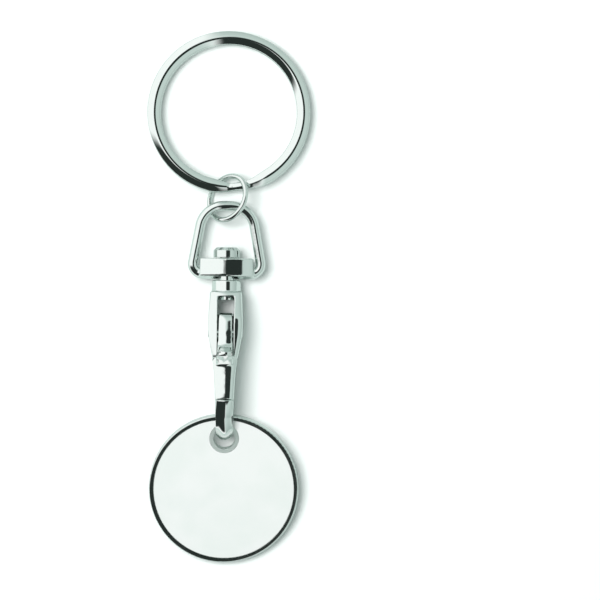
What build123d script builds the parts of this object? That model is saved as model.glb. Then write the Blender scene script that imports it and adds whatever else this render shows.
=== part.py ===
from build123d import *
from math import asin, atan, cos, degrees, hypot, radians, sin, sqrt, tan
import os

# Coin holder keyring, lying on its back as on a table.
# +Y runs from the coin to the split ring, +X to the right, +Z up from the table.
# The origin is on the table, under the middle of the whole length.
# All lengths are in millimetres.

# Fits shared by several pieces
pressed_gap = 0.02
running_gap = 0.06
touch_gap = 0.05
end_play = 0.12
cut_overrun = 1.0

# Coin: a struck metal blank with a white disc set into each face
coin_diameter = 23.25
coin_thickness = 2.0
coin_rim_width = 0.7
coin_edge_round = 0.22
coin_recess_depth = 0.32
coin_disc_thickness = 0.26
coin_hole_diameter = 3.4
coin_hole_margin = 1.92
coin_hole_land = 0.58
coin_disc_fit = 0.03
coin_hang_gap = 0.26

# Hook: bend, nose and spine, then the cheeks that hold the gate
bend_inner_radius = 2.75
bar_thickness = 1.6
bar_width = 2.62
bar_round = 0.7
throat_round = 0.9
cheek_round = 0.9
shoulder_round = 3.0
back_round = 4.0
nose_width = 2.95
nose_reach = 2.2
spine_thickness = 2.6
spine_width = 3.8
spine_width_reach = 7.9
flat_back_reach = 11.6
pin_reach = 12.2
pin_height = 5.3
cheek_width = 5.24
cheek_front = 7.5
cheek_radius = 4.45
cheek_corner_angle = 150.0
neck_reach = 6.5
neck_depth = 4.9
neck_width = 5.0
side_share = 0.8
slot_width = 2.55
slot_ledge = 0.7
slot_floor = 1.0
window_length = 2.7
collar_diameter = 4.5
collar_length = 1.8
swivel_height = 3.2

# Gate: tongue between the cheeks, thumb knob, and the arm that meets the nose
tongue_width = 2.1
hub_radius = 2.25
tail_radius = 1.5
tail_reach = 3.25
tail_lift = 0.35
knob_width = 2.35
knob_foot_reach = 1.3
knob_crest_reach = 3.0
knob_crest_length = 0.6
knob_rise = 1.5
knob_hollow = 0.33
arm_root_reach = 4.8
arm_root_depth = 3.3
arm_drop = 0.3
arm_round = 0.62
lip_thickness = 0.6
lip_length = 0.85
lip_width = 2.5
gate_gap = 0.15
spring_bay_width = 1.5
spring_bay_radius = 1.35
spring_bay_reach = 3.0

# Gate pivot pin and its spring
pin_diameter = 1.2
pin_stand_out = 0.08
spring_wire = 0.3
spring_coil_radius = 1.0
spring_turns = 2
spring_pitch = 0.36
spring_leg_reach = 2.46

# Swivel eye and the rivet that holds it on the hook
eye_bar_diameter = 1.65
eye_inner_width = 9.55
eye_height = 11.45
eye_shoulder_radius = 3.8
eye_leg_slant = 10.5
eye_corner_radius = 1.6
eye_joint_height = 3.5
crossbar_width = 8.3
crossbar_height = 3.3
crossbar_inset = 0.45
crossbar_depth = 4.4
crossbar_end_depth = 2.5
rivet_shank_diameter = 2.2
rivet_head_diameter = 4.1
rivet_head_height = 1.55
rivet_head_bevel = 0.45
rivet_tail_diameter = 2.45
rivet_tail_height = 0.6

# Jump ring, a round wire bent to a butt joint
jump_outer_diameter = 8.0
jump_wire = 0.85
jump_tilt = 42.0
jump_lean = 65.0
jump_joint_gap = 0.08
jump_joint_angle = 205.0
jump_lift = 1.25

# Split ring, a half-round wire wound twice
split_outer_diameter = 25.4
split_band_width = 2.1
split_coil_height = 1.14
split_coil_gap = 0.1
split_coil_flank = 0.4
split_step_start = 270.0
split_step_angle = 18.6
split_end_gap_angle = 0.6
split_step_stations = 5
split_gap = 0.25
split_lift = 0.28

# Coin at rest: it hangs in the bend by its hole, with its far edge on the table
bend_outer_radius = bend_inner_radius + bar_thickness
bend_height = bend_outer_radius
coin_radius = coin_diameter / 2
coin_hole_radius = coin_hole_diameter / 2
coin_hole_offset = coin_radius - coin_hole_margin - coin_hole_radius
coin_half = coin_thickness / 2
coin_hang = sqrt((bend_inner_radius - coin_hang_gap) ** 2 - coin_half**2) + coin_hole_radius
coin_far = coin_hang + coin_hole_offset + coin_radius
coin_tilt = degrees(asin(bend_height / hypot(coin_far, coin_half)) - atan(coin_half / coin_far))

# Jump ring at rest: its plane leans, and its lowest point is on the table
jump_radius = (jump_outer_diameter - jump_wire) / 2
jump_major = Vector(cos(radians(jump_lean)), sin(radians(jump_lean)), 0)
jump_minor = Vector(
    sin(radians(jump_lean)) * cos(radians(jump_tilt)),
    -cos(radians(jump_lean)) * cos(radians(jump_tilt)),
    sin(radians(jump_tilt)),
)
jump_normal = jump_major.cross(jump_minor)
jump_height = jump_radius * sin(radians(jump_tilt)) + jump_wire / 2
jump_top_share = sqrt(1 - jump_normal.Y**2)
jump_top_z = jump_height - jump_radius * jump_normal.Y * jump_normal.Z / jump_top_share

# Split ring at rest: near side over the jump ring's wire, far side on the table
split_radius = split_outer_diameter / 2
split_inner_radius = split_radius - split_band_width
split_half = split_coil_height + split_coil_gap / 2
split_span = split_radius + split_inner_radius
split_near_z = jump_top_z + split_lift
split_tilt = degrees(asin(split_near_z / hypot(split_span, split_half)) - atan(split_half / split_span))
split_height = split_radius * sin(radians(split_tilt)) + split_half * cos(radians(split_tilt))

# Places along the length, counted from the middle of the bend
pin_place = pin_reach
neck_place = pin_place + neck_reach
collar_place = neck_place + collar_length
crossbar_place = collar_place + end_play
eye_top_place = crossbar_place + eye_height
jump_place = eye_top_place + jump_lift
split_inner_place = jump_place + jump_radius * jump_top_share - jump_wire / 2 - split_gap
split_place = split_inner_place + split_inner_radius * cos(radians(split_tilt))
far_end = split_place + split_radius * cos(radians(split_tilt)) + split_half * sin(radians(split_tilt))
near_end = -coin_far * cos(radians(coin_tilt)) - coin_half * sin(radians(coin_tilt))

# The same places in the part's own frame, whose origin is under mid-length
bend_y = -(far_end + near_end) / 2
pin_y = bend_y + pin_place
neck_y = bend_y + neck_place
collar_y = bend_y + collar_place
crossbar_y = bend_y + crossbar_place
eye_top_y = bend_y + eye_top_place
jump_y = bend_y + jump_place
split_y = bend_y + split_place

# Rest planes and axes of the pieces that lie aslant
coin_along = Vector(0, cos(radians(coin_tilt)), sin(radians(coin_tilt)))
coin_up = Vector(0, -sin(radians(coin_tilt)), cos(radians(coin_tilt)))
bend_middle = Vector(0, bend_y, bend_height)
coin_middle = bend_middle - coin_along * (coin_hang + coin_hole_offset)
coin_plane = Plane(origin=coin_middle, x_dir=(1, 0, 0), z_dir=coin_up)
split_up = Vector(0, sin(radians(split_tilt)), cos(radians(split_tilt)))
split_middle = Vector(0, split_y, split_height)
split_plane = Plane(origin=split_middle, x_dir=(1, 0, 0), z_dir=split_up)
jump_middle = Vector(0, jump_y, jump_height)
pin_axis = Axis((0, pin_y, pin_height), (1, 0, 0))


def side_plane(x):
    """The plane of the hook's side view, with +Y to the right and +Z up."""
    return Plane(origin=(x, 0, 0), x_dir=(0, 1, 0), z_dir=(1, 0, 0))


def across_plane(y):
    """A plane square to the swivel axis at y, facing +Y, centred on that axis."""
    return Plane(origin=(0, y, swivel_height), x_dir=(-1, 0, 0), z_dir=(0, 1, 0))


def front_outline(top_y):
    """The hook's outline seen from the front, from top_y down past the bend."""
    end_y = bend_y - bend_outer_radius - cut_overrun
    places = [
        (neck_width / 2, top_y),
        (neck_width / 2, neck_y),
        (cheek_width / 2, pin_y),
        (spine_width / 2, bend_y + spine_width_reach),
        (nose_width / 2, bend_y + nose_reach),
        (bar_width / 2, bend_y - bend_inner_radius),
        (bar_width / 2, end_y),
    ]
    right = Spline(places)
    Line(right @ 1, (-bar_width / 2, end_y))
    Spline([(-x, y) for x, y in reversed(places)])
    Line((-neck_width / 2, top_y), (neck_width / 2, top_y))


def polar(reach, angle):
    """A point of the side view at a distance and an angle from the pivot pin."""
    return (pin_y + reach * cos(radians(angle)), pin_height + reach * sin(radians(angle)))


# Hook body: one casting of collar, cheeks, spine, bend and nose
nose_top = 2 * bend_outer_radius
nose_under = nose_top - bar_thickness
nose_y = bend_y + nose_reach
arm_reach = hypot(nose_y - pin_y, nose_top - pin_height)
throat_y = pin_y - sqrt(cheek_radius**2 - (pin_height - spine_thickness) ** 2)
cheek_corner = polar(cheek_radius, cheek_corner_angle)
slot_top = neck_y - slot_ledge

with BuildPart() as hook_body:
    with BuildSketch(side_plane(0)) as hook_side:
        with BuildLine():
            Line((neck_y, swivel_height - neck_depth / 2), (bend_y + flat_back_reach, 0))
            Line((bend_y + flat_back_reach, 0), (bend_y, 0))
            ThreePointArc((bend_y, 0), (bend_y - bend_outer_radius, bend_height), (bend_y, nose_top))
            Line((bend_y, nose_top), (nose_y + lip_length, nose_top))
            Line((nose_y + lip_length, nose_top), (nose_y + lip_length, nose_under))
            Line((nose_y + lip_length, nose_under), (bend_y, nose_under))
            ThreePointArc(
                (bend_y, nose_under),
                (bend_y - bend_inner_radius, bend_height),
                (bend_y, bar_thickness),
            )
            TangentArc((bend_y, bar_thickness), (throat_y, spine_thickness), tangent=(1, 0))
            ThreePointArc((throat_y, spine_thickness), polar(cheek_radius, 180), cheek_corner)
            Line(cheek_corner, (pin_y + hub_radius, cheek_front))
            Line((pin_y + hub_radius, cheek_front), (neck_y, swivel_height + neck_depth / 2))
            Line(
                (neck_y, swivel_height + neck_depth / 2),
                (neck_y, swivel_height - neck_depth / 2),
            )
        make_face()
        fillet(hook_side.vertices().sort_by_distance((throat_y, spine_thickness))[0], throat_round)
        fillet(hook_side.vertices().sort_by_distance((bend_y + flat_back_reach, 0))[0], back_round)
        fillet(hook_side.vertices().sort_by_distance(cheek_corner)[0], cheek_round)
        fillet(hook_side.vertices().sort_by_distance((pin_y + hub_radius, cheek_front))[0], shoulder_round)
    extrude(amount=cheek_width, both=True)
    with BuildSketch(Plane.XY):
        with BuildLine():
            front_outline(neck_y + cut_overrun)
        make_face()
    extrude(amount=nose_top + cut_overrun, both=True, mode=Mode.INTERSECT)
    side_faces = hook_body.faces().filter_by(lambda face: abs(face.normal_at().X) > side_share)
    side_edges = side_faces.edges().filter_by(lambda edge: edge.center().Y < neck_y - touch_gap)
    fillet(side_edges, bar_round)
    with BuildSketch(across_plane(slot_top)):
        Circle(collar_diameter / 2)
    extrude(amount=slot_ledge + collar_length)
    with BuildSketch(side_plane(0)):
        with BuildLine():
            Polyline(
                (slot_top, -cut_overrun),
                (slot_top, nose_top + cut_overrun),
                (throat_y - cut_overrun, nose_top + cut_overrun),
                (throat_y - cut_overrun, spine_thickness),
                (throat_y, spine_thickness),
                (pin_y - hub_radius, slot_floor),
                (slot_top - window_length, slot_floor),
                (slot_top - window_length, -cut_overrun),
                close=True,
            )
        make_face()
    extrude(amount=slot_width / 2, both=True, mode=Mode.SUBTRACT)
    with BuildSketch(side_plane(0)):
        with Locations((pin_y, pin_height)):
            Circle(arm_reach + gate_gap)
        with Locations((nose_y + lip_length, nose_top)):
            Rectangle(4 * lip_length, 3 * bar_thickness, mode=Mode.INTERSECT)
    extrude(amount=cheek_width, both=True, mode=Mode.SUBTRACT)
    with BuildSketch(side_plane(0)):
        with Locations((pin_y, pin_height)):
            Circle(pin_diameter / 2 + pressed_gap)
    extrude(amount=cheek_width, both=True, mode=Mode.SUBTRACT)
    with BuildSketch(across_plane(slot_top - cut_overrun)):
        Circle(rivet_shank_diameter / 2 + pressed_gap)
    extrude(amount=collar_length + slot_ledge + 2 * cut_overrun, mode=Mode.SUBTRACT)
hook_body.part.label = "hook_body"

# Gate lever: a cast lever, hollow behind the tongue for its spring
arm_front = nose_top - arm_drop
knob_height = arm_front + knob_rise
lip_top = nose_under - touch_gap
lip_bottom = lip_top - lip_thickness
tail_middle = (pin_y + tail_reach - tail_radius, pin_height + tail_lift)
knob_foot_y = pin_y - knob_foot_reach
knob_crest_y = pin_y - knob_crest_reach
arm_root_y = pin_y - arm_root_reach

with BuildPart() as gate_lever:
    with BuildSketch(side_plane(0)):
        with BuildLine():
            Polyline(
                (pin_y - hub_radius, arm_front),
                (nose_y - lip_length, arm_front),
                (nose_y - lip_length, lip_bottom),
                (pin_y - hub_radius, arm_front - arm_root_depth),
                close=True,
            )
        make_face()
        with Locations((pin_y, pin_height)):
            Circle(cheek_radius + gate_gap, mode=Mode.SUBTRACT)
            Circle(arm_reach, mode=Mode.INTERSECT)
    extrude(amount=cheek_width, both=True)
    with BuildSketch(Plane.XY):
        with BuildLine():
            front_outline(neck_y + cut_overrun)
        make_face()
    extrude(amount=nose_top + cut_overrun, both=True, mode=Mode.INTERSECT)
    arm_sides = gate_lever.faces().filter_by(lambda face: abs(face.normal_at().X) > side_share)
    long_edges = arm_sides.edges().filter_by(lambda edge: edge.bounding_box().size.Y > arm_root_depth)
    fillet(long_edges, arm_round)
    with BuildSketch(side_plane(0)):
        with Locations((nose_y, lip_bottom)):
            Rectangle(4 * lip_length, lip_thickness, align=(Align.CENTER, Align.MIN))
        with Locations((pin_y, pin_height)):
            Circle(arm_reach + lip_length, mode=Mode.INTERSECT)
    extrude(amount=lip_width / 2, both=True)
    with BuildSketch(side_plane(0)):
        with Locations((pin_y, pin_height)):
            Circle(hub_radius)
        with Locations(tail_middle):
            Circle(tail_radius)
        make_hull()
        with BuildLine():
            Polyline(
                (pin_y, pin_height + hub_radius),
                (arm_root_y - arm_round, arm_front - touch_gap),
                (arm_root_y - arm_round, arm_front - arm_root_depth + arm_round),
                (pin_y, pin_height - hub_radius / 2),
                close=True,
            )
        make_face()
    extrude(amount=tongue_width / 2, both=True)
    with BuildSketch(side_plane(0)):
        with BuildLine():
            Line((knob_foot_y, arm_front - arm_root_depth / 2), (knob_foot_y, pin_height + hub_radius))
            SagittaArc(
                (knob_foot_y, pin_height + hub_radius),
                (knob_crest_y + knob_crest_length / 2, knob_height),
                knob_hollow,
            )
            Polyline(
                (knob_crest_y + knob_crest_length / 2, knob_height),
                (knob_crest_y - knob_crest_length / 2, knob_height),
                (arm_root_y, arm_front),
                (arm_root_y, arm_front - arm_root_depth / 2),
                (knob_foot_y, arm_front - arm_root_depth / 2),
            )
        make_face()
    extrude(amount=knob_width / 2, both=True)
    with BuildSketch(side_plane(0)):
        with Locations((pin_y, pin_height)):
            Circle(spring_bay_radius)
            Rectangle(
                2 * spring_bay_radius,
                pin_height,
                align=(Align.CENTER, Align.MAX),
            )
            Rectangle(
                spring_bay_reach,
                2 * spring_bay_radius,
                align=(Align.MAX, Align.MAX),
            )
    extrude(amount=spring_bay_width / 2, both=True, mode=Mode.SUBTRACT)
    with BuildSketch(side_plane(0)):
        with Locations((pin_y, pin_height)):
            Circle(pin_diameter / 2 + running_gap)
    extrude(amount=cheek_width, both=True, mode=Mode.SUBTRACT)
gate_lever.part.label = "gate_lever"

# Gate pivot pin: a plain steel pin pressed through both cheeks
pin_half = cheek_width / 2 + pin_stand_out
with BuildPart() as gate_pivot_pin:
    with BuildSketch(side_plane(-pin_half)):
        with Locations((pin_y, pin_height)):
            Circle(pin_diameter / 2)
    extrude(amount=2 * pin_half)
    chamfer(gate_pivot_pin.edges().filter_by(GeomType.CIRCLE), pin_stand_out)
gate_pivot_pin.part.label = "gate_pivot_pin"

# Gate spring: a torsion spring of two turns round the pin. One leg stands on the
# floor of the hook's pocket, the other lies under the gate's arm.
arm_leg_drop = spring_wire / 2 + touch_gap
arm_leg_span = hypot(spring_leg_reach, arm_leg_drop)
arm_leg_rise = degrees(asin(spring_coil_radius / arm_leg_span) - atan(arm_leg_drop / spring_leg_reach))
arm_leg_length = sqrt(arm_leg_span**2 - spring_coil_radius**2)
coil_turns = spring_turns - (90 - arm_leg_rise) / 360
coil_length = coil_turns * spring_pitch
floor_leg_length = pin_height - slot_floor - touch_gap
with BuildPart() as gate_spring:
    with BuildLine() as spring_path:
        coil = Helix(
            pitch=spring_pitch,
            height=coil_length,
            radius=spring_coil_radius,
            center=(-coil_length / 2, pin_y, pin_height),
            direction=(1, 0, 0),
            lefthand=True,
            mode=Mode.PRIVATE,
        ).rotate(pin_axis, 90)
        add(coil)
        floor_leg = Line(coil @ 0 - coil % 0 * floor_leg_length, coil @ 0)
        Line(coil @ 1, coil @ 1 + coil % 1 * arm_leg_length)
    with BuildSketch(Plane(origin=floor_leg @ 0, z_dir=floor_leg % 0)):
        Circle(spring_wire / 2)
    sweep(path=spring_path.wire())
gate_spring.part.label = "gate_spring"

# Swivel rivet: head inside the eye, shank through the collar, tail in the window
rivet_head_y = crossbar_y + crossbar_height + end_play
with BuildPart() as swivel_rivet:
    with BuildSketch(across_plane(slot_top)):
        Circle(rivet_shank_diameter / 2)
    extrude(amount=rivet_head_y - slot_top)
    with BuildSketch(across_plane(rivet_head_y)):
        Circle(rivet_head_diameter / 2)
    extrude(amount=rivet_head_height)
    chamfer(swivel_rivet.edges().sort_by(Axis.Y)[-1], rivet_head_bevel)
    with BuildSketch(across_plane(slot_top)):
        Circle(rivet_tail_diameter / 2)
    extrude(amount=-rivet_tail_height)
swivel_rivet.part.label = "swivel_rivet"

# Swivel eye: a round bar bent into a closed D, cast in one with its thick crossbar
eye_low_y = crossbar_y + eye_bar_diameter / 2
eye_low_x = (eye_inner_width + eye_bar_diameter) / 2
eye_rise = eye_top_y - eye_low_y
eye_high_x = eye_low_x - eye_rise * tan(radians(eye_leg_slant))
eye_joint_y = eye_low_y + eye_joint_height
eye_joint_x = eye_low_x - eye_joint_height * tan(radians(eye_leg_slant))
crossbar_half = crossbar_width / 2
with BuildPart() as swivel_eye:
    with BuildLine(Plane.XY.offset(swivel_height)) as eye_path:
        FilletPolyline(
            (-eye_joint_x, eye_joint_y),
            (-eye_high_x, eye_top_y),
            (eye_high_x, eye_top_y),
            (eye_joint_x, eye_joint_y),
            radius=eye_shoulder_radius,
        )
        FilletPolyline(
            (eye_joint_x, eye_joint_y),
            (eye_low_x, eye_low_y),
            (-eye_low_x, eye_low_y),
            (-eye_joint_x, eye_joint_y),
            radius=eye_corner_radius,
        )
    with BuildSketch(Plane(origin=(-eye_joint_x, eye_joint_y, swivel_height), z_dir=eye_path.wire() % 0)):
        Circle(eye_bar_diameter / 2)
    sweep(path=eye_path.wire())
    with BuildSketch(across_plane(crossbar_y + crossbar_inset)):
        with BuildLine():
            ThreePointArc(
                (-crossbar_half, crossbar_end_depth / 2),
                (0, crossbar_depth / 2),
                (crossbar_half, crossbar_end_depth / 2),
            )
            Line((crossbar_half, crossbar_end_depth / 2), (crossbar_half, -crossbar_end_depth / 2))
            ThreePointArc(
                (crossbar_half, -crossbar_end_depth / 2),
                (0, -crossbar_depth / 2),
                (-crossbar_half, -crossbar_end_depth / 2),
            )
            Line((-crossbar_half, -crossbar_end_depth / 2), (-crossbar_half, crossbar_end_depth / 2))
        make_face()
    extrude(amount=crossbar_height - crossbar_inset)
    with BuildSketch(across_plane(crossbar_y - cut_overrun)):
        Circle(rivet_shank_diameter / 2 + running_gap)
    extrude(amount=crossbar_height + 2 * cut_overrun, mode=Mode.SUBTRACT)
swivel_eye.part.label = "swivel_eye"

# Jump ring
joint_angle = degrees(jump_joint_gap / jump_radius)
joint_out = jump_major * cos(radians(jump_joint_angle)) + jump_minor * sin(radians(jump_joint_angle))
joint_plane = Plane(
    origin=jump_middle + joint_out * jump_radius,
    x_dir=joint_out,
    z_dir=jump_normal.cross(joint_out),
)
with BuildPart() as jump_ring:
    with BuildSketch(joint_plane):
        Circle(jump_wire / 2)
    revolve(axis=Axis(jump_middle, jump_normal), revolution_arc=360 - joint_angle)
jump_ring.part.label = "jump_ring"


def coil_plane(angle, level):
    """The plane that cuts the split ring's wire at an angle, level above mid-height."""
    out = split_plane.x_dir * cos(radians(angle)) + split_plane.y_dir * sin(radians(angle))
    middle = split_middle + out * (split_radius - split_band_width / 2) + split_up * level
    return Plane(origin=middle, x_dir=out, z_dir=out.cross(split_up))


def coil_outline():
    """The split ring's wire cut across: flattened, with crowned faces."""
    half_band = split_band_width / 2
    flank = split_coil_flank / 2
    crown = split_coil_height / 2
    ThreePointArc((-half_band, flank), (0, crown), (half_band, flank))
    Line((half_band, flank), (half_band, -flank))
    ThreePointArc((half_band, -flank), (0, -crown), (-half_band, -flank))
    Line((-half_band, -flank), (-half_band, flank))


# Split ring: two turns of flattened wire, joined by a short step
coil_level = (split_coil_height + split_coil_gap) / 2
step_end = split_step_start + split_step_angle
turn_angle = 360 - split_step_angle - split_end_gap_angle
with BuildPart() as split_ring:
    for station in range(split_step_stations):
        share = station / (split_step_stations - 1)
        ease = share * share * (3 - 2 * share)
        with BuildSketch(coil_plane(split_step_start + share * split_step_angle, coil_level * (2 * ease - 1))):
            with BuildLine():
                coil_outline()
            make_face()
    loft()
    with BuildSketch(coil_plane(split_step_start, -coil_level)):
        with BuildLine():
            coil_outline()
        make_face()
    revolve(axis=Axis(split_middle, -split_up), revolution_arc=turn_angle)
    with BuildSketch(coil_plane(step_end, coil_level)):
        with BuildLine():
            coil_outline()
        make_face()
    revolve(axis=Axis(split_middle, split_up), revolution_arc=turn_angle)
split_ring.part.label = "split_ring"

# Coin blank: struck metal, with a raised rim and a land round the hole
disc_radius = coin_radius - coin_rim_width - coin_disc_fit
land_radius = coin_hole_radius + coin_hole_land
with BuildPart() as coin_blank:
    with BuildSketch(coin_plane.offset(-coin_half)):
        Circle(coin_radius)
    extrude(amount=coin_thickness)
    fillet(coin_blank.edges().filter_by(GeomType.CIRCLE), coin_edge_round)
    for side in (1, -1):
        with BuildSketch(coin_plane.offset(side * (coin_half - coin_recess_depth))):
            Circle(coin_radius - coin_rim_width)
            with Locations((0, coin_hole_offset)):
                Circle(land_radius, mode=Mode.SUBTRACT)
        extrude(amount=side * (coin_recess_depth + cut_overrun), mode=Mode.SUBTRACT)
    with BuildSketch(coin_plane.offset(-coin_half - cut_overrun)):
        with Locations((0, coin_hole_offset)):
            Circle(coin_hole_radius)
    extrude(amount=coin_thickness + 2 * cut_overrun, mode=Mode.SUBTRACT)
coin_blank.part.label = "coin_blank"


def coin_disc(side):
    """The white disc set into one face of the coin; side is 1 above, -1 below."""
    with BuildPart() as disc:
        with BuildSketch(coin_plane.offset(side * (coin_half - coin_recess_depth))):
            Circle(disc_radius)
            with Locations((0, coin_hole_offset)):
                Circle(land_radius + coin_disc_fit, mode=Mode.SUBTRACT)
        extrude(amount=side * coin_disc_thickness)
    return disc


coin_face_front = coin_disc(1)
coin_face_front.part.label = "coin_face_front"
coin_face_back = coin_disc(-1)
coin_face_back.part.label = "coin_face_back"

os.makedirs("parts", exist_ok=True)
export_step(hook_body.part, "parts/hook_body.step")
export_step(gate_lever.part, "parts/gate_lever.step")
export_step(gate_pivot_pin.part, "parts/gate_pivot_pin.step")
export_step(gate_spring.part, "parts/gate_spring.step")
export_step(swivel_rivet.part, "parts/swivel_rivet.step")
export_step(swivel_eye.part, "parts/swivel_eye.step")
export_step(jump_ring.part, "parts/jump_ring.step")
export_step(split_ring.part, "parts/split_ring.step")
export_step(coin_blank.part, "parts/coin_blank.step")
export_step(coin_face_front.part, "parts/coin_face_front.step")
export_step(coin_face_back.part, "parts/coin_face_back.step")
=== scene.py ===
from math import cos, pi, radians, sin

import bmesh
import bpy
import numpy
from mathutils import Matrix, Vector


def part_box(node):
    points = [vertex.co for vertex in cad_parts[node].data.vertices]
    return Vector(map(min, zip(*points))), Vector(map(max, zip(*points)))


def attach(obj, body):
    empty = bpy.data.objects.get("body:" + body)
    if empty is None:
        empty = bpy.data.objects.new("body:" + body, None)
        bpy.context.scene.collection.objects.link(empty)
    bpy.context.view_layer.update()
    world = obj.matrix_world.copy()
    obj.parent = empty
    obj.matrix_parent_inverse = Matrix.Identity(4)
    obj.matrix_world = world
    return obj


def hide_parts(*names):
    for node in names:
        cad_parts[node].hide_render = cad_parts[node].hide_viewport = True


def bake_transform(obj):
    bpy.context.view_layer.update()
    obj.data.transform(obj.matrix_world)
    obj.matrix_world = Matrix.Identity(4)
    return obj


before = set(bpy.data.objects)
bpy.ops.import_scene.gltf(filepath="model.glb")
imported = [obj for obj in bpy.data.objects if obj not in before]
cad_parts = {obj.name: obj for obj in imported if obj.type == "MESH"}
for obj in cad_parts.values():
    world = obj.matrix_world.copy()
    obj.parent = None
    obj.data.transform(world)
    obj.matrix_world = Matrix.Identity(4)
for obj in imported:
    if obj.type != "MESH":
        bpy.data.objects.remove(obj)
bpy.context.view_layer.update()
mm = 0.001

# ---------------------------------------------------------------------------
# Hook body: a zinc die casting, tumbled smooth and plated with bright nickel.
# One piece makes the collar, the two cheeks, the spine, the bend and the nose.
bright_nickel = "#DFE6E3"

# The casting's skin is made anew in this grain. Each round in the barrel moves a
# point by the wear share towards the middle of its neighbours, and outwards by no
# more than the most gain.
weld_distance = 0.0002 * mm
skin_grain = 0.1 * mm
wear_share = 0.5
most_gain = 0.02 * mm
hook_wear = 24

# The front leans a little, and is crowned across between two heights.
front_lean = 0.07
cheek_crown = 0.07 / mm
cheek_foot = 3 * mm
cheek_top = 7 * mm

# The bend is an arc about a line at bend_y, and the coin's hole eases its inside.
# A point nearer to that line than the core counts as lying on the core.
bend_inner_radius = 2.75 * mm
bend_outer_radius = 4.35 * mm
bend_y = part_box("hook_body")[0].y + bend_outer_radius
bend_core = 1 * mm
ease_depth = 0.06 * mm
ease_start = bend_y + 3 * mm
ease_end = bend_y + 2 * mm

# The nose is crowned more than the cheeks, and falls from its start to its end. The
# crown grows from its foot to its top, and fades through the bar by the skin power.
nose_crown = 0.45 / mm
nose_fall = 0.75 * mm
nose_start = bend_y + 2.5 * mm
nose_end = bend_y - 1 * mm
nose_foot = 0.8 * mm
nose_top = 3.2 * mm
nose_skin_power = 2.5


def linear(hex_colour):
    """A colour written as sRGB hex, as the linear values that Blender takes."""
    shares = [int(hex_colour[i:i + 2], 16) / 255 for i in (1, 3, 5)]
    return [
        s / 12.92 if s <= 0.04045 else ((s + 0.055) / 1.055) ** 2.4 for s in shares
    ] + [1]


def add(tree, kind, inputs=None, **settings):
    """Adds a node. inputs are values or sockets by name or number, and settings are
    the node's own properties."""
    made = tree.nodes.new(kind)
    for name, value in settings.items():
        setattr(made, name, value)
    for name, value in (inputs or {}).items():
        if isinstance(value, bpy.types.NodeSocket):
            tree.links.new(value, made.inputs[name])
        else:
            made.inputs[name].default_value = value
    return made


def plated_metal(name, colour, polished, dull, ripple, ripple_depth, edge_round=0):
    """Bright plate, from polished to dull in roughness. ripple is the width of the soft
    waves that polishing leaves, ripple_depth how deep they are, and edge_round how far
    the plate rounds a sharp edge, or zero where the mesh is rounded already."""
    finish = bpy.data.materials.new(name)
    finish.use_nodes = True
    tree = finish.node_tree
    shader = tree.nodes["Principled BSDF"]
    shader.inputs["Base Color"].default_value = linear(colour)
    shader.inputs["Metallic"].default_value = 1
    place = add(tree, "ShaderNodeTexCoord").outputs["Object"]
    waves = add(tree, "ShaderNodeTexNoise", {
        "Vector": place, "Scale": 1 / ripple, "Detail": 1, "Roughness": 0.4,
    })
    skin = add(tree, "ShaderNodeBump", {
        "Height": waves.outputs[0], "Distance": ripple_depth, "Strength": 1,
    })
    if edge_round:
        rounding = add(tree, "ShaderNodeBevel", {"Radius": edge_round}, samples=8)
        tree.links.new(rounding.outputs[0], skin.inputs["Normal"])
    # Handling dulls patches that are three times as wide as the waves.
    rubbed = add(tree, "ShaderNodeTexNoise", {
        "Vector": place, "Scale": 1 / (3 * ripple), "Detail": 4, "Roughness": 0.65,
    })
    shine = add(tree, "ShaderNodeMapRange", {
        "Value": rubbed.outputs[0], "From Min": 0.35, "From Max": 0.7,
        "To Min": polished, "To Max": dull,
    })
    tree.links.new(shine.outputs[0], shader.inputs["Roughness"])
    tree.links.new(skin.outputs[0], shader.inputs["Normal"])
    return finish


def coat(piece, finish):
    """Gives a piece or a CAD node one finish all over."""
    piece.data.materials.clear()
    piece.data.materials.append(finish)


def plain_mesh(piece):
    """The piece's mesh with its modifiers applied, which are then removed."""
    graph = bpy.context.evaluated_depsgraph_get()
    made = bpy.data.meshes.new_from_object(piece.evaluated_get(graph), depsgraph=graph)
    piece.modifiers.clear()
    piece.data = made
    return made


def closed_copy(node, name):
    """A copy of a CAD node, with its loose triangles joined into one closed skin."""
    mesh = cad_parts[node].data.copy()
    joined = bmesh.new()
    joined.from_mesh(mesh)
    bmesh.ops.remove_doubles(joined, verts=joined.verts, dist=weld_distance)
    joined.to_mesh(mesh)
    joined.free()
    piece = bpy.data.objects.new(name, mesh)
    bpy.context.scene.collection.objects.link(piece)
    return piece


def read_rows(items, field):
    """The x, y and z that a field holds for each item of a mesh, one row each."""
    values = numpy.empty(len(items) * 3)
    items.foreach_get(field, values)
    return values.reshape(-1, 3)


def tumbled(node, name, body, finish, rounds, shape=None):
    """The casting that a CAD node stands for, as it comes out of the tumbling barrel.
    Its skin is closed, shape moves its points, and it is relaxed for some rounds. The
    barrel takes metal off and adds none, so inner corners don't fill."""
    piece = closed_copy(node, name)
    remesh = piece.modifiers.new("skin", "REMESH")
    remesh.mode = "VOXEL"
    remesh.voxel_size = skin_grain
    skinned = plain_mesh(piece)
    places = read_rows(skinned.vertices, "co")
    outwards = read_rows(skinned.vertex_normals, "vector")
    if shape:
        shape(places, outwards[:, 2])
        skinned.vertices.foreach_set("co", places.ravel())
    relax = piece.modifiers.new("relax", "SMOOTH")
    relax.factor = wear_share
    relax.iterations = rounds
    rounded = plain_mesh(piece)
    worn = read_rows(rounded.vertices, "co")
    gain = ((worn - places) * outwards).sum(axis=1)
    worn -= numpy.maximum(gain - most_gain, 0)[:, None] * outwards
    rounded.vertices.foreach_set("co", worn.ravel())
    rounded.shade_smooth()
    coat(piece, finish)
    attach(piece, body)
    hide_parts(node)


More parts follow.
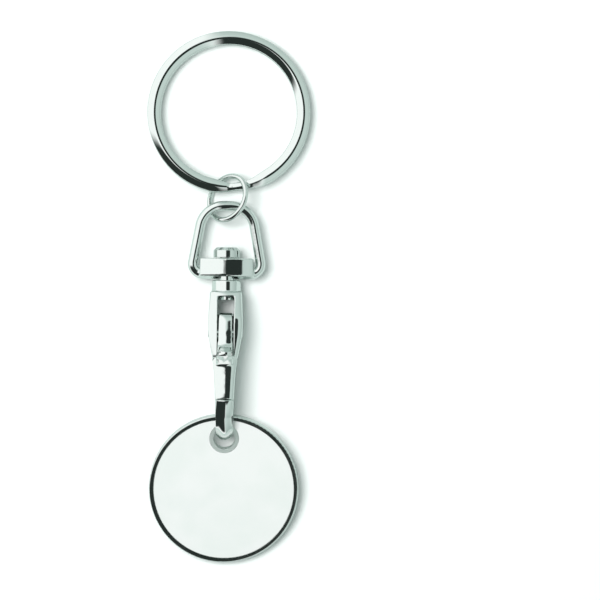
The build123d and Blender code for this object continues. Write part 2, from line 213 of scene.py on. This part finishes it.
def ramp(values, start, end):
    """How far the values have come from start to end, held between 0 and 1."""
    return numpy.clip((values - start) / (end - start), 0, 1)


def crown_front(places, facing, crown, lean, foot, top):
    """Crowns a casting's front across: a point at x sinks by crown * x * x and rises by
    lean * x, in full above top in height and not at all below foot. facing is how far
    each point faces the front, and only what faces it moves."""
    share = ramp(places[:, 2], foot, top) * numpy.clip(facing, 0, 1)
    places[:, 2] += (lean * places[:, 0] - crown * places[:, 0] ** 2) * share


def shape_hook(places, facing):
    """Crowns the cheeks a little and the bend and its nose much more, and lets the
    nose fall towards its tip, as a bar is that narrows to a round end. The bend's
    inside, where the coin hangs, is rubbed down a little."""
    crown_front(places, facing, cheek_crown, front_lean, cheek_foot, cheek_top)
    past = numpy.minimum(places[:, 1] - bend_y, 0)
    rise = places[:, 2] - bend_outer_radius
    reach = numpy.maximum(numpy.hypot(past, rise), bend_core)
    skin = ramp(reach, bend_inner_radius, bend_outer_radius)
    front = ramp(places[:, 2], nose_foot, nose_top)
    along = ramp(places[:, 1], nose_start, nose_end)
    fall = nose_fall * along * (rise / reach) ** 2
    sunk = nose_crown * places[:, 0] ** 2 + fall
    inward = sunk * skin ** nose_skin_power * front * along
    inward -= ease_depth * (1 - skin) * ramp(places[:, 1], ease_start, ease_end)
    places[:, 1] -= inward * past / reach
    places[:, 2] -= inward * rise / reach


# Bright nickel on a tumbled zinc casting: mirror bright, with soft waves 2 mm wide
# that bend the edges of its reflections.
cast_nickel = plated_metal(
    "bright_nickel_on_zinc_casting", bright_nickel, polished=0.03, dull=0.09,
    ripple=2.0 * mm, ripple_depth=0.02 * mm,
)
tumbled(
    "hook_body", "hook_casting", "hook", cast_nickel, hook_wear,
    shape_hook,
)

# ---------------------------------------------------------------------------
# Gate lever: a smaller zinc casting from the same barrel, plated as the hook is.
# Its tongue, thumb knob, arm and lip are one piece.
gate_wear = 14
gate_crown = 0.16 / mm
gate_foot = 5 * mm
gate_top = 7 * mm
knob_crown = 0.28 / mm
knob_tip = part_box("gate_lever")[1].z
knob_foot = knob_tip - 1.5 * mm
knob_full = knob_tip - 0.75 * mm


def shape_gate(places, facing):
    """Crowns the lever's front across, from its tongue to the end of its arm, and its
    thumb knob more than the rest."""
    crown_front(places, facing, gate_crown, front_lean, gate_foot, gate_top)
    crown_front(places, facing, knob_crown, 0, knob_foot, knob_full)


# The same plate on a smaller casting: its waves are shorter, and thumbs leave it a
# little duller in patches.
gate_nickel = plated_metal(
    "bright_nickel_on_gate_casting", bright_nickel, polished=0.03, dull=0.11,
    ripple=1.6 * mm, ripple_depth=0.02 * mm,
)
tumbled(
    "gate_lever", "gate_casting", "gate", gate_nickel, gate_wear,
    shape_gate,
)

# ---------------------------------------------------------------------------
# Gate pivot pin: a cut length of drawn steel wire, nickel plated and pressed in.
# Its two ends are turned flat, with a small chamfer.

# Nickel on a cut wire end: a little duller than the cheeks round it, so it shows.
pin_nickel = plated_metal(
    "nickel_plated_steel_pin", "#D3DAD8", polished=0.06, dull=0.16,
    ripple=0.8 * mm, ripple_depth=0.004 * mm, edge_round=0.05 * mm,
)
coat(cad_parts["gate_pivot_pin"], pin_nickel)

# ---------------------------------------------------------------------------
# Gate spring: two turns of hard-drawn spring wire round the pin. One leg stands on
# the hook, and the other lies under the gate's arm and gives way with it.
spring_end_angle = radians(40)

# Bare spring steel, lightly oiled: darker and duller than the plate round it, with
# fine marks from the drawing die.
spring_steel = plated_metal(
    "hard_drawn_spring_steel", "#A9AEAD", polished=0.18, dull=0.32,
    ripple=0.3 * mm, ripple_depth=0.003 * mm, edge_round=0.03 * mm,
)
spring = closed_copy("gate_spring", "gate_spring_wire")
coat(spring, spring_steel)
spring.data.set_sharp_from_angle(angle=spring_end_angle)
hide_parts("gate_spring")
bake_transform(spring)

# ---------------------------------------------------------------------------
# Swivel rivet: turned steel, plated before it is set. Its head is bevelled and
# its tail is spread inside the hook's window.

# Bright nickel on turned steel: a cleaner mirror than the castings, whose edges
# catch a thin light.
rivet_nickel = plated_metal(
    "bright_nickel_on_turned_steel", "#DCE3E0", polished=0.04, dull=0.1,
    ripple=1.2 * mm, ripple_depth=0.006 * mm, edge_round=0.1 * mm,
)
coat(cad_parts["swivel_rivet"], rivet_nickel)

# ---------------------------------------------------------------------------
# Swivel eye: a zinc casting, a round bar closed by a thick crossbar. It is tumbled
# and plated as the hook is.
eye_wear = 18

# The same plate as the hook's, with broader and flatter waves.
eye_nickel = plated_metal(
    "bright_nickel_on_eye_casting", bright_nickel, polished=0.03, dull=0.08,
    ripple=2.2 * mm, ripple_depth=0.015 * mm,
)
tumbled("swivel_eye", "eye_casting", "eye", eye_nickel, eye_wear)

# ---------------------------------------------------------------------------
# Jump ring: round steel wire, cut and bent until its ends butt together, then
# plated. It leans on the eye's arch, and the split ring lies over it.
jump_wire = 0.85 * mm
jump_outer_diameter = 8.0 * mm
jump_tilt = radians(42)
jump_lean = radians(65)
jump_joint_angle = radians(205)
jump_joint_gap = 0.08 * mm
jump_arc_points = 128
jump_section_points = 24
cut_edge_angle = radians(40)

# Bright nickel on drawn wire: a mirror with hardly a wave in it.
wire_nickel = plated_metal(
    "bright_nickel_on_steel_wire", "#DDE4E1", polished=0.03, dull=0.09,
    ripple=1.5 * mm, ripple_depth=0.004 * mm, edge_round=0.05 * mm,
)


def new_ring_tree(name, numbers, vectors):
    """A node tree for a ring of bent wire, and the sockets of its named sizes."""
    tree = bpy.data.node_groups.new(name, "GeometryNodeTree")
    named = (("Float", numbers), ("Vector", vectors), ("Material", ("Finish",)))
    for kind, labels in named:
        for label in labels:
            tree.interface.new_socket(
                label, in_out="INPUT", socket_type="NodeSocket" + kind,
            )
    tree.interface.new_socket("Ring", in_out="OUTPUT", socket_type="NodeSocketGeometry")
    return tree, add(tree, "NodeGroupInput").outputs


def end_ring_tree(tree, sizes, swept):
    """Ends a ring's tree. The swept wire is smooth but for the edges of its cut ends,
    and is put in its place, made real and given its finish."""
    smooth = add(tree, "GeometryNodeSetShadeSmooth", {"Geometry": swept.outputs[0]})
    edge_angle = add(tree, "GeometryNodeInputMeshEdgeAngle")
    cut_edge = add(tree, "FunctionNodeCompare", {
        "A": edge_angle.outputs["Unsigned Angle"], "B": sizes["Cut edge angle"],
    }, operation="GREATER_THAN")
    crisp = add(tree, "GeometryNodeSetShadeSmooth", {
        "Geometry": smooth.outputs[0], "Selection": cut_edge.outputs[0],
        "Shade Smooth": False,
    }, domain="EDGE")
    placed = add(tree, "GeometryNodeTransform", {
        "Geometry": crisp.outputs[0], "Translation": sizes["Middle"],
        "Rotation": sizes["Turn"],
    })
    real = add(tree, "GeometryNodeRealizeInstances", {"Geometry": placed.outputs[0]})
    dressed = add(tree, "GeometryNodeSetMaterial", {
        "Geometry": real.outputs[0], "Material": sizes["Finish"],
    })
    add(tree, "NodeGroupOutput", {"Ring": dressed.outputs[0]})


def grown(name, tree, sizes):
    """A piece grown from a node tree and its named sizes, as a plain mesh."""
    piece = bpy.data.objects.new(name, bpy.data.meshes.new(name))
    bpy.context.scene.collection.objects.link(piece)
    growth = piece.modifiers.new("growth", "NODES")
    growth.node_group = tree
    for item in tree.interface.items_tree:
        if item.in_out == "INPUT":
            growth[item.identifier] = sizes[item.name]
    plain_mesh(piece)
    return piece


jump_tree, jump_sizes = new_ring_tree(
    "bent_wire_ring",
    ("Wire", "Radius", "Start", "Sweep", "Cut edge angle"),
    ("Middle", "Turn"),
)
jump_arc = add(jump_tree, "GeometryNodeCurveArc", {
    "Resolution": jump_arc_points, "Radius": jump_sizes["Radius"],
    "Start Angle": jump_sizes["Start"], "Sweep Angle": jump_sizes["Sweep"],
}, mode="RADIUS")
half_wire = add(jump_tree, "ShaderNodeMath", {
    0: jump_sizes["Wire"], 1: 0.5,
}, operation="MULTIPLY")
round_section = add(jump_tree, "GeometryNodeCurvePrimitiveCircle", {
    "Resolution": jump_section_points, "Radius": half_wire.outputs[0],
})
upright_arc = add(jump_tree, "GeometryNodeSetCurveNormal", {
    "Curve": jump_arc.outputs["Curve"],
}, mode="Z_UP")
bent_wire = add(jump_tree, "GeometryNodeCurveToMesh", {
    "Curve": upright_arc.outputs[0], "Profile Curve": round_section.outputs["Curve"],
    "Fill Caps": True,
})
end_ring_tree(jump_tree, jump_sizes, bent_wire)

jump_low, jump_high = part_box("jump_ring")
jump_radius = (jump_outer_diameter - jump_wire) / 2
jump_ring = grown("jump_ring_wire", jump_tree, {
    "Wire": jump_wire,
    "Radius": jump_radius,
    "Start": jump_joint_angle,
    "Sweep": 2 * pi - jump_joint_gap / jump_radius,
    "Cut edge angle": cut_edge_angle,
    "Middle": (jump_low + jump_high) / 2,
    "Turn": (pi - jump_tilt, 0, jump_lean),
    "Finish": wire_nickel,
})
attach(jump_ring, "link")
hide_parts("jump_ring")

# ---------------------------------------------------------------------------
# Split ring: flattened spring wire wound twice and plated with bright nickel, with
# a short step from the lower to the upper turn at the near side.
split_outer_diameter = 25.4 * mm
split_band_width = 2.1 * mm
split_coil_height = 1.14 * mm
split_coil_gap = 0.1 * mm
split_step_start = radians(270)
split_step_angle = radians(18.6)
split_end_gap = radians(0.6)
split_tilt = radians(2.77)
split_turn_points = 300
split_section_points = 72
# The wire is pressed narrower where it steps: to this share of its size within the
# core, and back to its full size at the reach.
split_pinch = 0.62
split_pinch_core = 1.2 * mm
split_pinch_reach = 4.6 * mm
# Half of the wire cut across, from its crest to its edge: shares of the half width
# and of the half height.
split_roof = (
    (0.0, 1.0), (0.16, 0.972), (0.34, 0.875), (0.6, 0.68), (0.88, 0.41), (0.97, 0.25),
    (1.0, 0.0),
)
# Lines from drawing and winding run along the wire, and fade in and out. They are
# wider apart than real ones, because those would be too fine to show.
drawn_line_gap = 0.15 * mm
drawn_line_run = 6 * mm
drawn_line_depth = 0.0012 * mm

# Bright nickel on wound wire: a mirror, finely streaked along the wire.
ring_nickel = plated_metal(
    "bright_nickel_on_wound_spring_wire", bright_nickel, polished=0.03, dull=0.08,
    ripple=2.5 * mm, ripple_depth=0.006 * mm, edge_round=0.05 * mm,
)
plate_tree = ring_nickel.node_tree
along_wire = add(plate_tree, "ShaderNodeAttribute", attribute_name="wire_along")
across_wire = add(plate_tree, "ShaderNodeAttribute", attribute_name="wire_across")
run = add(plate_tree, "ShaderNodeMath", {
    0: along_wire.outputs["Fac"], 1: 1 / drawn_line_run,
}, operation="MULTIPLY")
lane = add(plate_tree, "ShaderNodeMath", {
    0: across_wire.outputs["Fac"], 1: 1 / drawn_line_gap,
}, operation="MULTIPLY")
drawn = add(plate_tree, "ShaderNodeCombineXYZ", {
    "X": run.outputs[0], "Y": lane.outputs[0],
})
lines = add(plate_tree, "ShaderNodeTexNoise", {
    "Vector": drawn.outputs[0], "Scale": 1, "Detail": 2,
})
scratch = add(plate_tree, "ShaderNodeBump", {
    "Height": lines.outputs[0], "Distance": drawn_line_depth, "Strength": 1,
    "Normal": plate_tree.nodes["Bump"].outputs[0],
})
plate_shader = plate_tree.nodes["Principled BSDF"]
plate_tree.links.new(scratch.outputs[0], plate_shader.inputs["Normal"])

coil_tree, coil_sizes = new_ring_tree(
    "wound_wire_ring",
    (
        "Turns", "Middle radius", "Start angle", "Half level", "Step from", "Step to",
        "Pinch", "Pinch core", "Pinch reach", "Cut edge angle",
    ),
    ("Step middle", "Half section", "Middle", "Turn"),
)

# The wire's path: a flat spiral of constant radius, which climbs at the step.
spiral = add(coil_tree, "GeometryNodeCurveSpiral", {
    "Resolution": split_turn_points, "Rotations": coil_sizes["Turns"],
    "Start Radius": coil_sizes["Middle radius"],
    "End Radius": coil_sizes["Middle radius"], "Height": 0, "Reverse": True,
})
first_turn = add(coil_tree, "ShaderNodeCombineXYZ", {"Z": coil_sizes["Start angle"]})
turned = add(coil_tree, "GeometryNodeTransform", {
    "Geometry": spiral.outputs[0], "Rotation": first_turn.outputs[0],
})
along_path = add(coil_tree, "GeometryNodeSplineParameter").outputs
below = add(coil_tree, "ShaderNodeMath", {
    0: coil_sizes["Half level"], 1: -1,
}, operation="MULTIPLY")
climb = add(coil_tree, "ShaderNodeMapRange", {
    "Value": along_path["Factor"],
    "From Min": coil_sizes["Step from"], "From Max": coil_sizes["Step to"],
    "To Min": below.outputs[0], "To Max": coil_sizes["Half level"],
}, interpolation_type="SMOOTHSTEP")
raised = add(coil_tree, "ShaderNodeCombineXYZ", {"Z": climb.outputs[0]})
wound = add(coil_tree, "GeometryNodeSetPosition", {
    "Geometry": turned.outputs[0], "Offset": raised.outputs[0],
})
marked_path = add(coil_tree, "GeometryNodeStoreNamedAttribute", {
    "Geometry": wound.outputs[0], "Name": "wire_along", "Value": along_path["Length"],
}, data_type="FLOAT", domain="POINT")
upright_path = add(coil_tree, "GeometryNodeSetCurveNormal", {
    "Curve": marked_path.outputs[0],
}, mode="Z_UP")
from_step = add(coil_tree, "ShaderNodeVectorMath", {
    0: add(coil_tree, "GeometryNodeInputPosition").outputs[0],
    1: coil_sizes["Step middle"],
}, operation="DISTANCE")
girth = add(coil_tree, "ShaderNodeMapRange", {
    "Value": from_step.outputs["Value"],
    "From Min": coil_sizes["Pinch core"], "From Max": coil_sizes["Pinch reach"],
    "To Min": coil_sizes["Pinch"], "To Max": 1,
}, interpolation_type="SMOOTHSTEP")

# The wire cut across: a circle drawn out to the half width, its height read from
# the roof's curve on both sides.
circle = add(coil_tree, "GeometryNodeCurvePrimitiveCircle", {
    "Resolution": split_section_points, "Radius": 1,
})
spot = add(coil_tree, "ShaderNodeSeparateXYZ", {
    0: add(coil_tree, "GeometryNodeInputPosition").outputs[0],
}).outputs
out_share = add(coil_tree, "ShaderNodeMath", {0: spot["X"]}, operation="ABSOLUTE")
roof = add(coil_tree, "ShaderNodeFloatCurve", {"Value": out_share.outputs[0]})
roof_line = roof.mapping.curves[0]
for roof_point in split_roof[1:-1]:
    roof_line.points.new(*roof_point)
roof_line.points[0].location = split_roof[0]
roof_line.points[-1].location = split_roof[-1]
roof.mapping.update()
side = add(coil_tree, "ShaderNodeMath", {0: spot["Y"]}, operation="SIGN")
up_share = add(coil_tree, "ShaderNodeMath", {
    0: roof.outputs[0], 1: side.outputs[0],
}, operation="MULTIPLY")
cut = add(coil_tree, "ShaderNodeCombineXYZ", {"X": spot["X"], "Y": up_share.outputs[0]})
sized = add(coil_tree, "ShaderNodeVectorMath", {
    0: cut.outputs[0], 1: coil_sizes["Half section"],
}, operation="MULTIPLY")
flat_section = add(coil_tree, "GeometryNodeSetPosition", {
    "Geometry": circle.outputs["Curve"], "Position": sized.outputs[0],
})
section_place = add(coil_tree, "ShaderNodeSeparateXYZ", {
    0: add(coil_tree, "GeometryNodeInputPosition").outputs[0],
})
marked_section = add(coil_tree, "GeometryNodeStoreNamedAttribute", {
    "Geometry": flat_section.outputs[0], "Name": "wire_across",
    "Value": section_place.outputs["X"],
}, data_type="FLOAT", domain="POINT")
wound_wire = add(coil_tree, "GeometryNodeCurveToMesh", {
    "Curve": upright_path.outputs[0], "Profile Curve": marked_section.outputs[0],
    "Scale": girth.outputs[0], "Fill Caps": True,
})
end_ring_tree(coil_tree, coil_sizes, wound_wire)

split_low, split_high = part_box("split_ring")
one_turn = 2 * pi - split_step_angle - split_end_gap
whole_turn = 2 * one_turn + split_step_angle
split_middle_radius = (split_outer_diameter - split_band_width) / 2
step_middle = split_step_start + split_step_angle / 2
step_x = split_middle_radius * cos(step_middle)
step_y = split_middle_radius * sin(step_middle)
split_ring = grown("split_ring_wire", coil_tree, {
    "Turns": whole_turn / (2 * pi),
    "Middle radius": split_middle_radius,
    "Start angle": split_step_start - one_turn,
    "Half level": (split_coil_height + split_coil_gap) / 2,
    "Step from": one_turn / whole_turn,
    "Step to": (one_turn + split_step_angle) / whole_turn,
    "Step middle": (step_x, step_y, 0),
    "Pinch": split_pinch,
    "Pinch core": split_pinch_core,
    "Pinch reach": split_pinch_reach,
    "Half section": (split_band_width / 2, split_coil_height / 2, 0),
    "Cut edge angle": cut_edge_angle,
    "Middle": (split_low + split_high) / 2,
    "Turn": (-split_tilt, 0, 0),
    "Finish": ring_nickel,
})
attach(split_ring, "ring")
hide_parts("split_ring")

# ---------------------------------------------------------------------------
# Coin blank: a steel disc, struck with a raised rim and a raised land round its
# hole, then nickel plated. Only the rim, the land and the edge show.
coin_hole_offset = 8.0 * mm
coin_land_radius = 2.6 * mm
struck_nickel = "#D8DFDC"
land_grey = "#F4FAF7"
land_roughness = 0.7
level = (1, 1, 0)
# A Mix node's colour sockets share their names with its others, so they go by number.
mix_first, mix_second, mixed = 6, 7, 2

# Bright nickel on struck steel: bright on the rim. The polishing wheel can't reach
# the land, so it stays pale and dull from the press.
coin_nickel = plated_metal(
    "bright_nickel_on_struck_steel", struck_nickel, polished=0.05, dull=0.12,
    ripple=1.2 * mm, ripple_depth=0.006 * mm, edge_round=0.05 * mm,
)
coin_low, coin_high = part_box("coin_blank")
hole_y = (coin_low.y + coin_high.y) / 2 + coin_hole_offset
coin_tree = coin_nickel.node_tree
coin_shader = coin_tree.nodes["Principled BSDF"]
coin_place = add(coin_tree, "ShaderNodeTexCoord").outputs["Object"]
from_hole = add(coin_tree, "ShaderNodeVectorMath", {
    0: coin_place, 1: (0, hole_y, 0),
}, operation="SUBTRACT")
level_from_hole = add(coin_tree, "ShaderNodeVectorMath", {
    0: from_hole.outputs[0], 1: level,
}, operation="MULTIPLY")
hole_distance = add(coin_tree, "ShaderNodeVectorMath", {
    0: level_from_hole.outputs[0],
}, operation="LENGTH")
on_land = add(coin_tree, "ShaderNodeMath", {
    0: hole_distance.outputs["Value"], 1: coin_land_radius,
}, operation="LESS_THAN")
dulled = add(coin_tree, "ShaderNodeMath", {
    0: on_land.outputs[0], 1: land_roughness,
    2: coin_shader.inputs["Roughness"].links[0].from_socket,
}, operation="MULTIPLY_ADD")
coin_tint = add(coin_tree, "ShaderNodeMix", {
    "Factor": on_land.outputs[0],
    mix_first: linear(struck_nickel), mix_second: linear(land_grey),
}, data_type="RGBA")
coin_tree.links.new(dulled.outputs[0], coin_shader.inputs["Roughness"])
coin_tree.links.new(coin_tint.outputs[mixed], coin_shader.inputs["Base Color"])
coat(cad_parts["coin_blank"], coin_nickel)

# ---------------------------------------------------------------------------
# Coin faces: a white enamelled disc set into each side for printing. The enamel
# is sprayed and baked, and both faces are left plain.
# How far up the mottle's noise each white is reached.
enamel_stops = ((0.4, "#E4E6E4"), (0.62, "#E9E9E8"))
enamel_ior = 1.5
mottle_width = 7 * mm
peel_width = 0.9 * mm
peel_depth = 0.0012 * mm

# Baked enamel: smooth and glossy, with a faint orange peel and a cool white that is
# mottled so little that it only keeps the face from looking flat.
enamel = bpy.data.materials.new("baked_white_enamel")
enamel.use_nodes = True
enamel_tree = enamel.node_tree
enamel_shader = enamel_tree.nodes["Principled BSDF"]
enamel_shader.inputs["IOR"].default_value = enamel_ior
enamel_place = add(enamel_tree, "ShaderNodeTexCoord").outputs["Object"]
mottle = add(enamel_tree, "ShaderNodeTexNoise", {
    "Vector": enamel_place, "Scale": 1 / mottle_width, "Detail": 3, "Roughness": 0.5,
})
tint = add(enamel_tree, "ShaderNodeValToRGB", {"Fac": mottle.outputs[0]})
for stop, (position, colour) in zip(tint.color_ramp.elements, enamel_stops):
    stop.position = position
    stop.color = linear(colour)
peel = add(enamel_tree, "ShaderNodeTexNoise", {
    "Vector": enamel_place, "Scale": 1 / peel_width, "Detail": 2, "Roughness": 0.5,
})
peel_bump = add(enamel_tree, "ShaderNodeBump", {
    "Height": peel.outputs[0], "Distance": peel_depth, "Strength": 1,
})
gloss = add(enamel_tree, "ShaderNodeMapRange", {
    "Value": mottle.outputs[0], "From Min": 0.35, "From Max": 0.65,
    "To Min": 0.16, "To Max": 0.24,
})
enamel_tree.links.new(tint.outputs[0], enamel_shader.inputs["Base Color"])
enamel_tree.links.new(peel_bump.outputs[0], enamel_shader.inputs["Normal"])
enamel_tree.links.new(gloss.outputs[0], enamel_shader.inputs["Roughness"])
coat(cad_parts["coin_face_front"], enamel)
coat(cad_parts["coin_face_back"], enamel)

# ---------------------------------------------------------------------------
# Table: a plain sheet of matt white paper that the keyring lies on, and that
# keeps its soft shadow.
half_table = 0.8
paper_white = "#F8FAF9"
# The paper's colour as the plate mirrors it: painted shade.
paper_shade_in_plate = "#D6DEDB"
paper_roughness = 0.9

# Matt paper: no shine at all. Where the plate mirrors it, it is painted greyer. That is
# painted shade in the plate's reflections, not a colour of the paper.
paper = bpy.data.materials.new("matt_white_paper")
paper.use_nodes = True
paper_tree = paper.node_tree
paper_shader = paper_tree.nodes["Principled BSDF"]
paper_rays = add(paper_tree, "ShaderNodeLightPath").outputs
# Glossy rays see the painted shade colour in place of the paper's white.
paper_painted_shade = add(paper_tree, "ShaderNodeMix", {
    "Factor": paper_rays["Is Glossy Ray"],
    mix_first: linear(paper_white), mix_second: linear(paper_shade_in_plate),
}, data_type="RGBA")
paper_tree.links.new(paper_painted_shade.outputs[mixed], paper_shader.inputs["Base Color"])
paper_shader.inputs["Roughness"].default_value = paper_roughness
paper_shader.inputs["Specular IOR Level"].default_value = 0

table_mesh = bpy.data.meshes.new("table_sheet")
table_mesh.from_pydata(
    [
        (-half_table, -half_table, 0), (half_table, -half_table, 0),
        (half_table, half_table, 0), (-half_table, half_table, 0),
    ],
    [], [(0, 1, 2, 3)],
)
table_mesh.materials.append(paper)
table = bpy.data.objects.new("table_sheet", table_mesh)
bpy.context.scene.collection.objects.link(table)

# ---------------------------------------------------------------------------
# Light: a white tent round the table, open at the top for the camera, with one
# soft lamp on the left. In the plate the tent is white on the left and pale grey
# green on the right, and dark where it is open.
tent_light = 0.5
tent_tint = "#EAFAF6"
plate_strength = 1.2
pure_white = "#FFFFFF"
pale_wall_low = "#AEBBB7"
pale_wall_high = "#C8D4D0"
dark_opening = "#2A302E"
# Heights are shares of a direction's length: 0 is level and 1 is straight up.
pale_wall_heights = (0.15, 0.75)
pale_azimuth = radians(14)
pale_edge = (-0.1, 0.15)
# The opening is an oval across the way up, so its reach upwards has no end.
opening_middle = (0.2, 0.07, 0)
opening_reach = (0.3, 0.42, 1000)
opening_edge = (1.12, 0.88)
opening_heights = (0.3, 0.4)
gap_azimuth = radians(236)
gap_edge = (cos(radians(51)), cos(radians(37)))
gap_heights = (0.1, 0.25)
lamp_place = (-0.14, 0.06, 0.53)
lamp_size = 0.26
lamp_power = 2.45

tent = bpy.data.worlds.new("white_tent")
tent.use_nodes = True
bpy.context.scene.world = tent
tent_tree = tent.node_tree
tent_tree.nodes.clear()
way = add(tent_tree, "ShaderNodeTexCoord").outputs["Generated"]
height = add(tent_tree, "ShaderNodeSeparateXYZ", {0: way}).outputs["Z"]

# The right hand walls are pale, and greyer low down where the table's edge is.
pale = add(tent_tree, "ShaderNodeMapRange", {
    "Value": height,
    "From Min": pale_wall_heights[0], "From Max": pale_wall_heights[1],
})
pale_wall = add(tent_tree, "ShaderNodeMix", {
    "Factor": pale.outputs[0],
    mix_first: linear(pale_wall_low), mix_second: linear(pale_wall_high),
}, data_type="RGBA")
pale_way = add(tent_tree, "ShaderNodeVectorMath", {
    0: way, 1: (cos(pale_azimuth), sin(pale_azimuth), 0),
}, operation="DOT_PRODUCT")
right_side = add(tent_tree, "ShaderNodeMapRange", {
    "Value": pale_way.outputs["Value"],
    "From Min": pale_edge[0], "From Max": pale_edge[1],
}, interpolation_type="SMOOTHSTEP")
walls = add(tent_tree, "ShaderNodeMix", {
    "Factor": right_side.outputs[0],
    mix_first: linear(pure_white), mix_second: pale_wall.outputs[mixed],
}, data_type="RGBA")

# The opening at the top reaches further to the right and to the front.
from_opening = add(tent_tree, "ShaderNodeVectorMath", {
    0: way, 1: opening_middle,
}, operation="SUBTRACT")
in_reaches = add(tent_tree, "ShaderNodeVectorMath", {
    0: from_opening.outputs[0], 1: opening_reach,
}, operation="DIVIDE")
opening_share = add(tent_tree, "ShaderNodeVectorMath", {
    0: in_reaches.outputs[0],
}, operation="LENGTH")
open_top = add(tent_tree, "ShaderNodeMapRange", {
    "Value": opening_share.outputs["Value"],
    "From Min": opening_edge[0], "From Max": opening_edge[1],
}, interpolation_type="SMOOTHSTEP")
high = add(tent_tree, "ShaderNodeMapRange", {
    "Value": height, "From Min": opening_heights[0], "From Max": opening_heights[1],
})
opening = add(tent_tree, "ShaderNodeMath", {
    0: open_top.outputs[0], 1: high.outputs[0],
}, operation="MULTIPLY")

# The gap in the tent's front wall runs from the opening down to the table.
level_way = add(tent_tree, "ShaderNodeVectorMath", {
    0: way, 1: level,
}, operation="MULTIPLY")
heading = add(tent_tree, "ShaderNodeVectorMath", {
    0: level_way.outputs[0],
}, operation="NORMALIZE")
gap_way = add(tent_tree, "ShaderNodeVectorMath", {
    0: heading.outputs[0], 1: (cos(gap_azimuth), sin(gap_azimuth), 0),
}, operation="DOT_PRODUCT")
open_front = add(tent_tree, "ShaderNodeMapRange", {
    "Value": gap_way.outputs["Value"],
    "From Min": gap_edge[0], "From Max": gap_edge[1],
}, interpolation_type="SMOOTHSTEP")
above_table = add(tent_tree, "ShaderNodeMapRange", {
    "Value": height, "From Min": gap_heights[0], "From Max": gap_heights[1],
})
gap = add(tent_tree, "ShaderNodeMath", {
    0: open_front.outputs[0], 1: above_table.outputs[0],
}, operation="MULTIPLY")
openings = add(tent_tree, "ShaderNodeMath", {
    0: opening.outputs[0], 1: gap.outputs[0],
}, operation="MAXIMUM")
seen_in_plate = add(tent_tree, "ShaderNodeMix", {
    "Factor": openings.outputs[0],
    mix_first: walls.outputs[mixed], mix_second: linear(dark_opening),
}, data_type="RGBA")

# The plate sees the tent, the camera a pure white, and all else an even soft light.
rays = add(tent_tree, "ShaderNodeLightPath").outputs
soft_light = add(tent_tree, "ShaderNodeBackground", {
    "Color": linear(tent_tint), "Strength": tent_light,
})
mirrored = add(tent_tree, "ShaderNodeBackground", {
    "Color": seen_in_plate.outputs[mixed], "Strength": plate_strength,
})
backdrop = add(tent_tree, "ShaderNodeBackground", {
    "Color": linear(pure_white), "Strength": 1,
})
plate_view = add(tent_tree, "ShaderNodeMixShader", {
    0: rays["Is Glossy Ray"], 1: soft_light.outputs[0], 2: mirrored.outputs[0],
})
camera_view = add(tent_tree, "ShaderNodeMixShader", {
    0: rays["Is Camera Ray"], 1: plate_view.outputs[0], 2: backdrop.outputs[0],
})
add(tent_tree, "ShaderNodeOutputWorld", {"Surface": camera_view.outputs[0]})

lamp_data = bpy.data.lights.new("soft_lamp", "AREA")
lamp_data.shape = "DISK"
lamp_data.size = lamp_size
lamp_data.energy = lamp_power
lamp = bpy.data.objects.new("soft_lamp", lamp_data)
lamp.location = lamp_place
lamp.rotation_euler = (-lamp.location).to_track_quat("-Z", "Y").to_euler()
lamp.visible_glossy = False
bpy.context.scene.collection.objects.link(lamp)

# ---------------------------------------------------------------------------
# Camera: straight above, a little to the right of the keyring, which leans by
# under a degree in the frame.
camera_height = 0.6
camera_place = (11.48 * mm, -0.37 * mm)
camera_roll = radians(0.765)
frame_width = 93.4 * mm
framed_height = 3 * mm
sensor_width = 36

lens = bpy.data.cameras.new("overhead_camera")
lens.sensor_width = sensor_width
lens.lens = sensor_width * (camera_height - framed_height) / frame_width
camera = bpy.data.objects.new("overhead_camera", lens)
camera.location = (*camera_place, camera_height)
camera.rotation_euler = (0, 0, camera_roll)
bpy.context.scene.collection.objects.link(camera)
bpy.context.scene.camera = camera
bpy.context.scene.view_settings.view_transform = "Standard"
